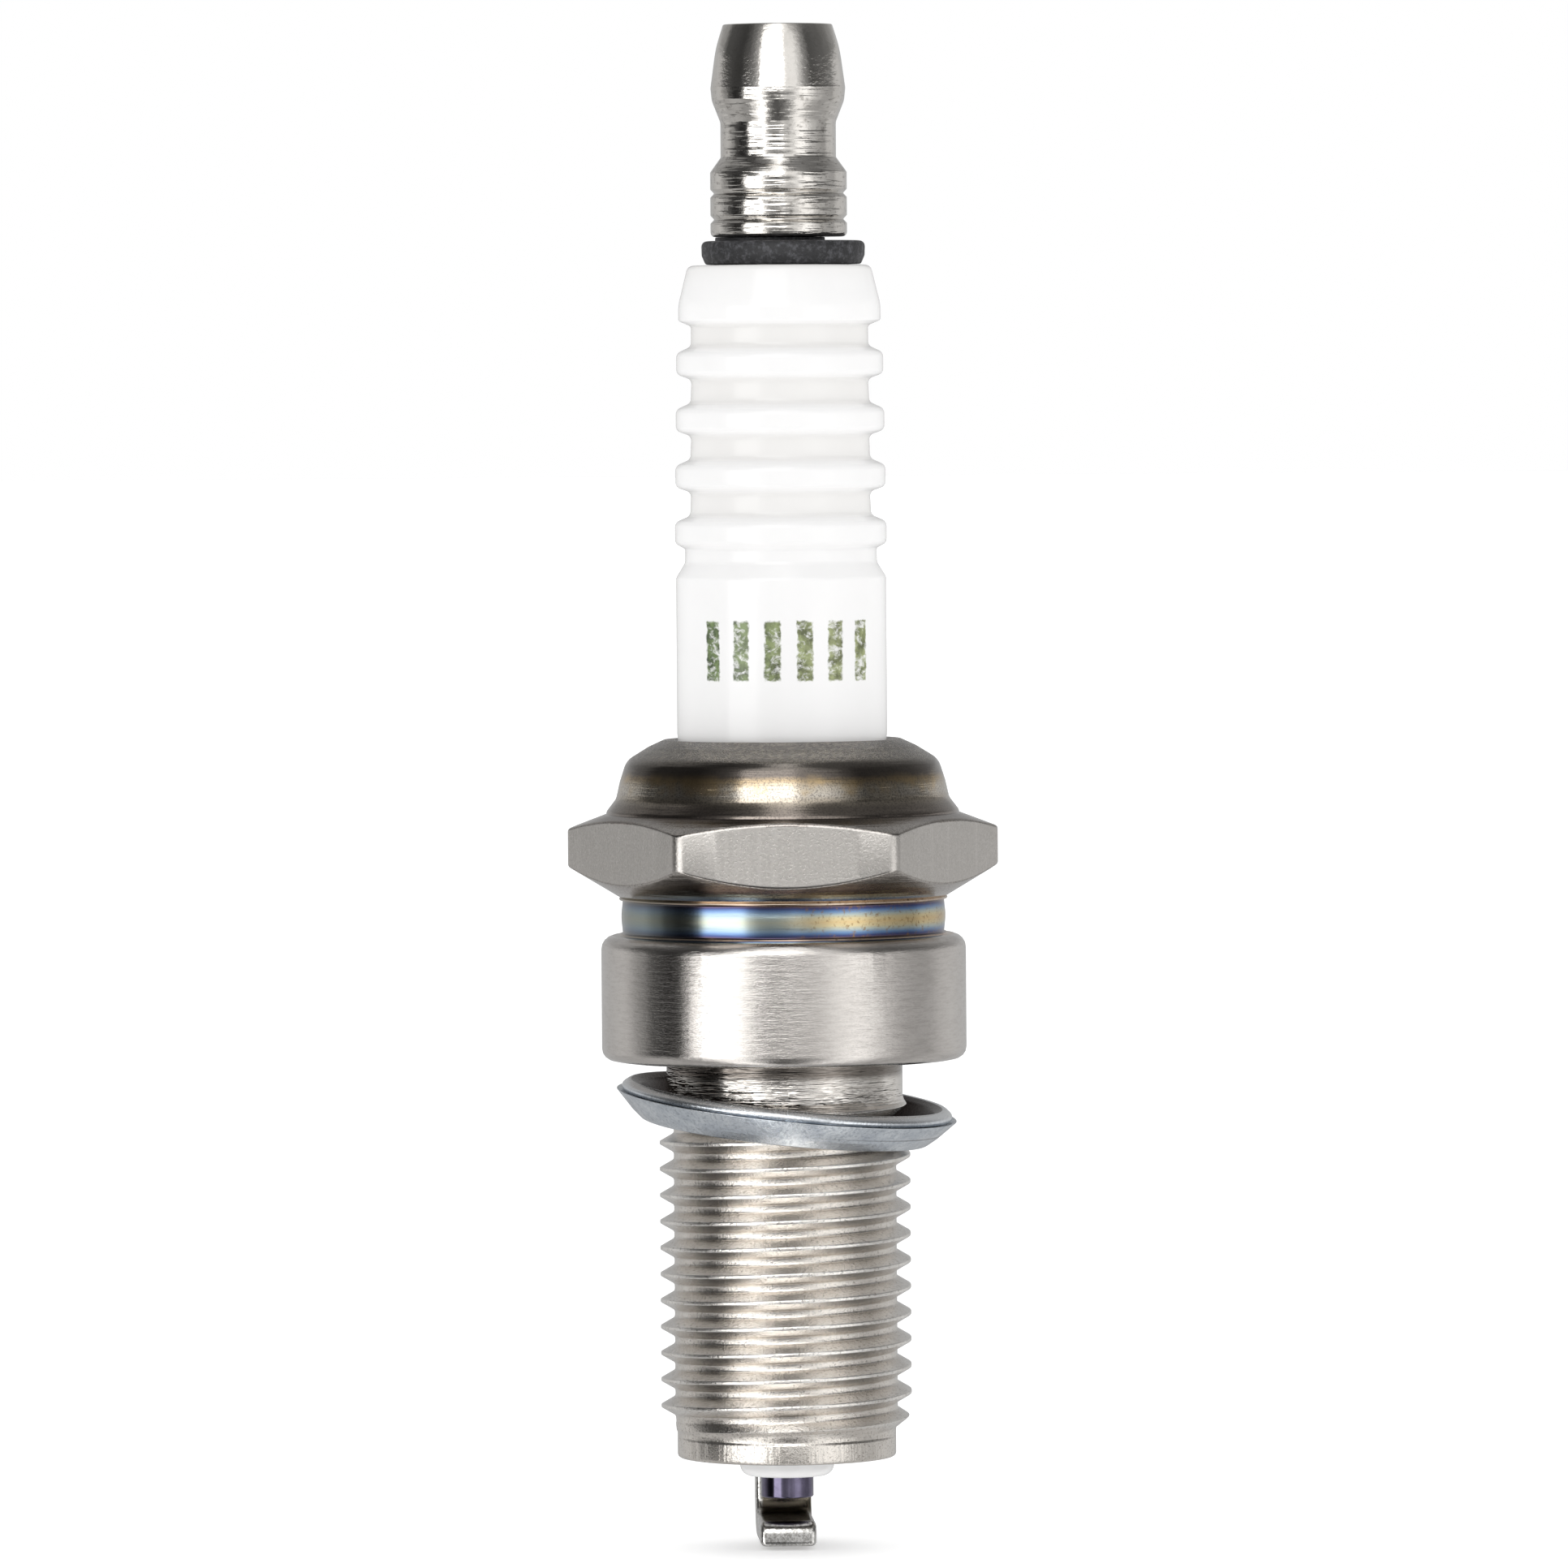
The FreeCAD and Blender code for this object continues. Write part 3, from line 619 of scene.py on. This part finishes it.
def thread_offsets():
    """(share of the pitch, radius) from one crest down to the next, with rounded crest and root."""
    crest_half = PITCH / 16
    root_half = PITCH / 2 - crest_half - (CREST_R - ROOT_R) * FLANK_SLOPE
    corners = [
        (-0.02, CREST_R), (0.0, CREST_R), (crest_half, CREST_R, CREST_ROUND),
        (PITCH / 2 - root_half, ROOT_R, ROOT_ROUND), (PITCH / 2, ROOT_R),
        (PITCH / 2 + root_half, ROOT_R, ROOT_ROUND), (PITCH - crest_half, CREST_R, CREST_ROUND), (PITCH, CREST_R)]
    return [(point[0] / PITCH, point[1]) for point in rounded(corners, 4, closed=False)][1:-1]


def eased(share):
    """0 to 1 with a soft start and end."""
    share = min(max(share, 0), 1)
    return share * share * (3 - 2 * share)


def thread_point(height, radius):
    """(r, z) of a point of the thread, held between its ends and faded into the neck and the pilot."""
    z = min(max(height, THREAD_BOTTOM), THREAD_TOP)
    r = NECK_R + (radius - NECK_R) * eased((THREAD_TOP - z) / TOP_FADE)
    r = PILOT_R + (r - PILOT_R) * eased((z - THREAD_BOTTOM) / BOTTOM_FADE)
    return r, z


def upper_rows(radius):
    """Outline from the crimped lip down to the hexagon's lower chamfer, for a hexagon of this radius."""
    return [
        (LIP_R, 14.2), (LIP_R, SHELL_TOP - 0.12, 0.08), (5.6, SHELL_TOP, 0.15), (6.35, 14.85, 0.6),
        (7.4, 14.2, 0.9), (7.72, 13.2, 1.5), (7.9, 12.4, 0.6), (8.35, HEX_TOP - 0.02, 0.28),
        (8.37, HEX_TOP - 0.15, 0.02),
        (radius, HEX_TOP - (radius - HEX_SHOULDER_R) * HEX_UPPER_SLOPE, HEX_EDGE),
        (radius, HEX_BOTTOM + (radius - HEX_BOTTOM_R) * HEX_LOWER_SLOPE, HEX_EDGE)]


def lower_rows():
    """Outline from the groove below the hexagon down to the neck."""
    return [
        (7.86, 7.80, 0.04), (7.72, 7.72), (7.80, 7.68, 0.03), (7.76, BAND_HIGH - 0.05, 0.03),
        (7.62, BAND_HIGH - 0.08, 0.05), (7.70, 6.80, 2.5), (7.62, BAND_LOW + 0.10, 0.05),
        (7.74, BAND_LOW + 0.06, 0.03), (7.78, BAND_LOW - 0.02, 0.03), (7.93, BAND_LOW, 0.10),
        (SEAT_R, 5.82, 0.66), (SEAT_R, 0.0, 0.55), (NECK_R, 0.0, 0.12), (NECK_R, THREAD_TOP + 0.1)]


def end_rows():
    """Outline from the thread's end round the firing end and up the bore, back to the lip."""
    return [
        (PILOT_R, THREAD_BOTTOM - 0.1), (PILOT_R, SHELL_END, 0.18), (4.1, SHELL_END, 0.08), (4.1, -12.0),
        (3.75, -11.6), (3.75, -10.0), (4.35, -10.0), (4.35, 0.3), (6.6, 1.5), (6.6, 13.6, 0.6), (LIP_R, 14.2)]


def make_shell():
    """Shell as one closed grid. Its rows follow the outline, and the thread's rows follow the helix."""
    angles = shell_angles()
    offsets = thread_offsets()
    first = math.floor((CREST_Z - THREAD_TOP) / PITCH) - 1
    last = math.ceil((CREST_Z - THREAD_BOTTOM) / PITCH) + 1
    end = [tuple(point) for point in rounded(end_rows(), 5, closed=False)][:-1]
    vertices = []
    for angle in angles:
        upper = rounded(upper_rows(hex_radius(angle)) + lower_rows(), 5, closed=False)
        thread = []
        for turn in range(first, last + 1):
            for share, radius in offsets:
                height = CREST_Z + PITCH * angle / (2 * math.pi) - (turn + share) * PITCH
                thread.append(thread_point(height, radius))
        for r, z in [tuple(point) for point in upper] + thread + end:
            vertices.append((r * MM * math.cos(angle), r * MM * math.sin(angle), z * MM))
    columns = len(angles)
    rows = len(vertices) // columns
    thread_start = len(upper)
    thread_stop = thread_start + len(thread)

    def first_column_row(row):
        """Row of the first column that meets this row of the last one: in the thread, one pitch higher."""
        return max(row - len(offsets), thread_start) if thread_start <= row < thread_stop else row

    faces = []
    for j in range(columns):
        k = (j + 1) % columns
        for i in range(rows):
            below = (i + 1) % rows
            far_here, far_below = (first_column_row(i), first_column_row(below)) if k == 0 else (i, below)
            faces.append((j * rows + i, k * rows + far_here, k * rows + far_below, j * rows + below))
    return mesh_object("shell_body", vertices, faces, sharp_angle=34.0, weld=2e-7)


TURNED, CRIMPED, FLATS, TINTED, THREADED = range(5)


def paint_shell(piece):
    """Gives each stretch of the shell its own finish, by height and radius."""
    chamfer_low, chamfer_r, dome_low = 11.35, 8.05, 11.72
    flat_slope = 0.3
    for polygon in piece.data.polygons:
        centre = polygon.center / MM
        r = math.hypot(centre.x, centre.y)
        z = centre.z
        if z > dome_low or z > chamfer_low and r > chamfer_r and polygon.normal.z > 0.02:
            finish = CRIMPED
        elif z > HEX_BOTTOM + 0.01 and r > 7.8:
            finish = FLATS if abs(polygon.normal.z) < flat_slope else CRIMPED
        elif BAND_LOW - 0.03 < z < HEX_BOTTOM - 0.02 and r > 7.4:
            finish = TINTED
        elif z < -0.02 and r > 5.0:
            finish = THREADED
        else:
            finish = TURNED
        polygon.material_index = finish


# ---------------------------------------------------------------- other pieces

def make_nut():
    """Terminal nut: a barrel with two grooves, a neck and a bulb, bored from below for the stud."""
    top, bottom = NUT_HIGH.z / MM, NUT_LOW.z / MM
    barrel_r, groove_r, bore_r, bore_top = 3.23, 3.05, 1.75, bottom + 5.2
    corners = [(0, bore_top), (bore_r, bore_top), (bore_r, bottom + 0.5), (2.1, bottom), (barrel_r, bottom, 0.22)]
    for groove in (39.79, 41.02):
        corners += [(barrel_r, groove - 0.19, 0.04), (groove_r, groove, 0.05), (barrel_r, groove + 0.19, 0.04)]
    corners += [
        (barrel_r, 42.02, 0.10), (2.73, 42.72, 0.15), (2.73, 44.38, 0.6), (3.13, 45.4, 1.0), (3.19, 46.0, 0.35),
        (2.93, 47.9, 6.0), (2.58, top, 0.07), (0, top)]
    return lathe("terminal_nut_body", corners, FINE_SEGMENTS)


def make_ring():
    """Rubber ring: the hole is round the stud, the slack rim and the low boss lie off the axis."""
    low, high = RING_LOW.z / MM, RING_HIGH.z / MM
    radius = (RING_HIGH.y - RING_LOW.y) / MM / 2
    hole, boss, top = 2.02, 2.6, 38.77
    rim_offset, boss_offset = (RING_LOW.x + RING_HIGH.x) / 2, -0.42 * MM
    ring = lathe("terminal_ring_body", [
        (hole, low, 0.1), (radius - 0.2, low, 0.14), (radius - 0.02, low + 0.42, 0.25), (radius, top, 0.26),
        (boss, top, 0.03), (boss, high, 0.05), (hole, high, 0.03)], FINE_SEGMENTS)
    for vertex in ring.data.vertices:
        r = vertex.co.xy.length / MM
        angle = math.atan2(vertex.co.y, vertex.co.x)
        if r > boss + 0.2:
            wobble = 0.012 * MM * math.sin(3 * angle + 0.6) + 0.008 * MM * math.sin(7 * angle) - 0.02 * MM
            vertex.co.x += rim_offset + wobble * math.cos(angle)
            vertex.co.y += wobble * math.sin(angle)
        elif r > boss - 0.2:
            vertex.co.x += boss_offset
    return ring


def make_insulator():
    """Insulator: a band and four ribs above, the plain body, and the nose inside the shell."""
    top, tip = INSULATOR_HIGH.z / MM, INSULATOR_LOW.z / MM
    top_rib, rib_spacing = 32.98, 2.67
    corners = [(2.25, top, 0.2), (4.33, top, 0.34), (4.79, 35.75, 2.5), (4.79, 35.0, 0.14), (4.19, 34.75, 0.2)]
    for i in range(4):
        z = top_rib - i * rib_spacing
        neck_r, rib_r = 4.16 + 0.03 * i, 4.9 + 0.04 * i
        corners += [(neck_r + 0.04, z + 0.82, 0.3), (rib_r, z + 0.5, 0.36), (rib_r, z - 0.5, 0.32),
                    (neck_r + 0.02, z - 0.76, 0.3)]
    corners[-1] = (4.54, corners[-1][1], 0.15)
    corners += [
        (4.55, 23.55, 0.5), (4.98, 22.85, 0.4), (4.98, 15.5), (4.92, 14.9), (4.92, 9.5), (6.5, 9.0, 0.4),
        (6.5, 2.6, 0.4), (4.25, 1.2, 0.4), (4.25, -9.69), (3.5, -9.69), (2.17, tip, 0.5), (1.27, tip, 0.05),
        (1.27, -6.6), (2.25, -6.6)]
    return lathe("insulator_body", corners, FINE_SEGMENTS, 7)


def make_tip():
    """Sheath of the centre electrode: a head, the plain tip, and the hole for its copper core."""
    top, tip = TIP_HIGH.z / MM, TIP_LOW.z / MM
    core_r, head_r, tip_r = 0.76, 1.95, 1.25
    return lathe("centre_electrode_body", [
        (core_r, top), (head_r, top, 0.1), (head_r, top - 1.0), (tip_r, top - 1.0), (tip_r, tip, 0.07), (0, tip),
        (0, tip + 1.3), (core_r, tip + 1.3)], FINE_SEGMENTS)


def make_gasket():
    """Folded gasket: its section turned about its own axis, then laid at its tilt on the neck."""
    gasket = lathe("gasket_body", [
        (8.14, 0.02, 0.02), (7.3, -0.86, 0.6), (6.8, -1.28, 0.3), (6.3, -1.28, 0.25), (6.3, -0.9, 0.12),
        (6.74, -0.55, 0.25), (7.02, 0.28, 0.25), (7.5, 0.56, 0.25), (7.96, 0.2, 0.22), (7.8, -0.02, 0.02),
        (7.56, 0.0, 0.05), (7.66, 0.2, 0.08), (7.5, 0.28, 0.1), (7.29, 0.14, 0.1), (7.02, -0.6, 0.08),
        (7.02, -0.84), (8.0, 0.0)], SEGMENTS)
    gasket.data.transform(Matrix.Translation(GASKET_CENTRE * MM) @ GASKET_TILT.to_4x4())
    return gasket


def make_strap():
    """Earth strap: its side outline drawn across by its width, with the long edges rounded over."""
    width, thick, edge, bend = 2.66, 1.2, 0.3, 1.9
    sharp_angle, turn = 40.0, math.radians(2.6)
    leg_y, free_y = 4.5, -1.2
    outer_y, inner_y = leg_y + thick / 2, leg_y - thick / 2
    bottom = STRAP_LOW.z / MM
    top = bottom + thick
    outline = rounded([
        (outer_y, SHELL_END), (outer_y, bottom, bend), (free_y, bottom, 0.25), (free_y, top, 0.6),
        (inner_y, top, bend - thick), (inner_y, SHELL_END)], 9)
    count = len(outline)
    vertices = [(side * width / 2 * MM, y * MM, z * MM) for side in (-1, 1) for y, z in outline]
    faces = [tuple(range(count)), tuple(range(count, 2 * count))[::-1]]
    for i in range(count):
        j = (i + 1) % count
        faces.append((i, j, count + j, count + i))
    strap = mesh_object("ground_electrode_body", vertices, faces, sharp_angle)
    bm = bmesh.new()
    bm.from_mesh(strap.data)
    rims = [rim for rim in bm.edges
            if abs(rim.verts[0].co.x - rim.verts[1].co.x) < 1e-6
            and min(vertex.co.z for vertex in rim.verts) < (SHELL_END - 0.01) * MM]
    bmesh.ops.bevel(
        bm, geom=rims, offset=edge * MM, segments=4, profile=0.5, affect="EDGES", clamp_overlap=True)
    bm.to_mesh(strap.data)
    bm.free()
    strap.data.shade_smooth()
    strap.data.set_sharp_from_angle(angle=math.radians(sharp_angle))
    strap.data.transform(Matrix.Rotation(turn, 4, "Z"))
    return strap


shell_finishes = [
    turned_metal("nickel_turned", NICKEL, NICKEL_DARK, 0.07, 0.05, 0.018, 0.2, 7.0),
    crimp_metal(), hex_metal(), tint_metal(), thread_metal()]
shell = dress(make_shell(), "plug", "shell", "nickel_plate", *shell_finishes)
paint_shell(shell)
dress(make_insulator(), "plug", "insulator", "glazed_ceramic", ceramic())
dress(make_nut(), "nut", "terminal_nut", "plated_nut", nut_metal())
dress(make_ring(), "ring", "terminal_ring", "black_rubber", rubber())
dress(make_gasket(), "washer", "gasket", "zinc_plate", zinc_metal())
dress(make_tip(), "plug", "centre_electrode", "nickel_alloy",
      alloy("electrode_alloy", (0.15, 0.135, 0.20), (0.09, 0.08, 0.12), 0.01, 4.0, 0.001))
dress(make_strap(), "plug", "ground_electrode", "strap_alloy", strap_metal())

# The hidden pieces keep their CAD shapes and only take materials
inner_looks = {
    "terminal_stud": turned_metal("stud_steel", (0.55, 0.53, 0.50), (0.35, 0.33, 0.31), 0.3),
    "glass_seal": powder("seal_glass", (0.20, 0.12, 0.08), (0.07, 0.05, 0.05), 0.25),
    "electrode_core": alloy("copper", (0.80, 0.42, 0.27), (0.55, 0.26, 0.16), 0.25),
    "talc_ring": powder("talc", (0.82, 0.83, 0.79), (0.66, 0.67, 0.63), 0.7),
}
packing = turned_metal("packing_steel", (0.48, 0.47, 0.46), (0.30, 0.29, 0.28), 0.32)
for node in ("upper_packing_ring", "lower_packing_ring", "seat_washer"):
    inner_looks[node] = packing
for node, material in inner_looks.items():
    piece = frame["nodes"][node]
    piece.data.materials.clear()
    piece.data.materials.append(material)


# ---------------------------------------------------------------- light, floor and camera

def make_world():
    """Soft studio: white to the eye and for diffuse light, with softboxes and gaps for the reflections."""
    world = bpy.data.worlds.new("studio")
    bpy.context.scene.world = world
    world.use_nodes = True
    n = Nodes(world.node_tree)
    direction = n.add("ShaderNodeTexCoord").outputs["Generated"]
    split = n.add("ShaderNodeSeparateXYZ")
    n.link(direction, split.inputs[0])
    x, y, z = split.outputs
    azimuth = n.math("ARCTAN2", x, n.math("MULTIPLY", y, -1.0))
    round_share = n.math("MULTIPLY_ADD", azimuth, 1 / (2 * math.pi), 0.5)

    def by_angle(stops):
        """Brightness round the horizon: stops are (degrees from the camera's side, brightness)."""
        return n.ramp(round_share, [((degrees + 180) / 360, value / STUDIO) for degrees, value in stops], "EASE")

    level = by_angle([
        (-180, 0.45), (-150, 0.56), (-120, 0.68), (-102, 0.36), (-92, 0.10), (-80, 0.03), (-68, 0.04),
        (-62, 0.4), (-58, 2.9), (-30, 2.9), (-24, 1.0), (-17, 0.55), (-10, 0.50), (0, 0.60), (8, 0.90),
        (18, 0.75), (30, 1.0), (38, 1.5), (50, 1.6), (57, 1.4), (65, 0.95), (73, 0.68), (90, 0.50),
        (105, 0.46), (118, 0.72), (130, 0.72), (155, 0.58), (180, 0.45)])
    raised = by_angle([
        (-180, 0.40), (-150, 0.45), (-130, 0.37), (-110, 0.09), (-70, 0.05), (-58, 0.10), (-48, 0.20),
        (-36, 0.5), (-29, 3.0), (6, 3.0), (14, 1.2), (30, 1.2), (40, 0.75), (50, 0.30), (62, 0.10),
        (90, 0.14), (110, 0.20), (130, 0.32), (150, 0.45), (180, 0.40)])
    over = by_angle([
        (-180, 0.34), (-150, 0.45), (-130, 0.40), (-110, 0.32), (-92, 0.10), (-70, 0.09), (-50, 0.21),
        (-30, 0.36), (-12, 1.4), (10, 1.8), (20, 1.2), (30, 0.50), (40, 0.33), (60, 0.26), (100, 0.20),
        (140, 0.38), (180, 0.34)])
    below = by_angle([
        (-180, 0.50), (-90, 0.55), (-70, 0.40), (-60, 0.45), (-50, 1.2), (-40, 2.0), (-30, 2.0), (-20, 0.5),
        (-10, 0.14), (0, 0.14), (10, 0.25), (20, 0.37), (30, 0.8), (40, 1.4), (50, 1.4), (60, 1.0), (70, 0.6),
        (90, 0.46), (120, 0.62), (150, 0.56), (180, 0.50)])
    pattern = n.mix(n.fade(z, 0.14, 0.20), level, raised)
    pattern = n.mix(n.fade(z, 0.50, 0.82), pattern, over)
    pattern = n.mix(n.fade(z, -0.20, -0.32), pattern, below)
    bright = n.mix(1.0, pattern, (STUDIO, STUDIO, STUDIO), "MULTIPLY")
    rays = n.add("ShaderNodeLightPath")
    colour = n.mix(rays.outputs["Is Glossy Ray"], (AMBIENT, AMBIENT, AMBIENT), bright)
    colour = n.mix(rays.outputs["Is Camera Ray"], colour, (1.0, 1.0, 1.0))
    background = n.add("ShaderNodeBackground")
    n.link(colour, background.inputs["Color"])
    output = n.add("ShaderNodeOutputWorld")
    n.link(background.outputs[0], output.inputs["Surface"])


def make_floor():
    """Plain pale floor just below the strap."""
    size = 6.0
    mesh = bpy.data.meshes.new("floor")
    z = cad_box[0].z - 0.2 * MM
    mesh.from_pydata([(-size, -size, z), (size, -size, z), (size, size, z), (-size, size, z)], [], [(0, 1, 2, 3)])
    floor = bpy.data.objects.new("floor", mesh)
    bpy.context.scene.collection.objects.link(floor)
    material, _, shader = surface("pale_floor", Roughness=0.8, Base_Color=(0.86, 0.86, 0.86, 1))
    shader.inputs["Emission Color"].default_value = (1, 1, 1, 1)
    shader.inputs["Emission Strength"].default_value = FLOOR_GLOW
    mesh.materials.append(material)
    floor.visible_glossy = False


def make_camera():
    """Camera at eye level above the terminal nut, about half a metre away, with a long lens."""
    distance = CAMERA_DISTANCE * MM
    middle = (cad_box[0].z + cad_box[1].z) / 2
    eye = middle + EYE_ABOVE_MIDDLE * MM
    aim = Vector((AIM_RIGHT * MM, 0, middle + AIM_ABOVE_MIDDLE * MM))
    data = bpy.data.cameras.new("camera")
    data.sensor_width = 36
    data.lens = data.sensor_width * distance / (PHOTO_SIDE / PIXELS_PER_MM * MM)
    data.clip_start, data.clip_end = 0.01, 20
    camera = bpy.data.objects.new("camera", data)
    bpy.context.scene.collection.objects.link(camera)
    camera.location = (aim.x, -distance, eye)
    look = (aim - camera.location).to_track_quat("-Z", "Y")
    roll = Matrix.Rotation(CAMERA_ROLL, 4, "Z")
    camera.matrix_world = Matrix.Translation(camera.location) @ look.to_matrix().to_4x4() @ roll
    bpy.context.scene.camera = camera


make_world()
make_floor()
make_camera()
bpy.context.scene.view_settings.view_transform = "Standard"
